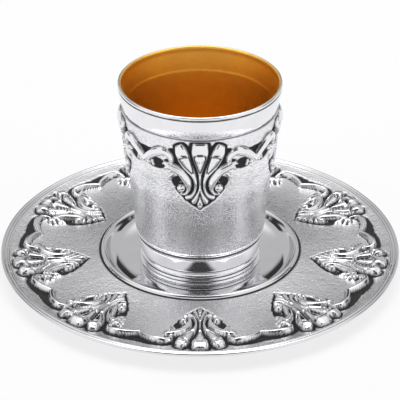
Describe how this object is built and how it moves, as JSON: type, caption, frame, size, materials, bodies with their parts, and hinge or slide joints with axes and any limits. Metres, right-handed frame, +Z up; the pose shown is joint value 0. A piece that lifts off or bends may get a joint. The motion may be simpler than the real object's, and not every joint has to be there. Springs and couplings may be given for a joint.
{
  "type": "kiddush cup",
  "caption": "Silver kiddush cup with a ringed foot, shell and scroll relief and a gilt inside, standing in a matching round saucer with a well.",
  "frame": {"origin": "centre of the saucer's underside, on the table", "axes": "+Z up along the axis of cup and saucer; one shell of each faces -Y"},
  "size_m": [0.155, 0.155, 0.0781],
  "materials": {
    "cup_silver": "satin silver, polished rim and foot, oxidised recesses",
    "cup_gilt": "gilt inside",
    "saucer_silver": "satin silver, polished well and edge, oxidised recesses"
  },
  "bodies": {
    "root": {"cup": "cup_silver", "saucer": "saucer_silver"}
  },
  "joints": []
}
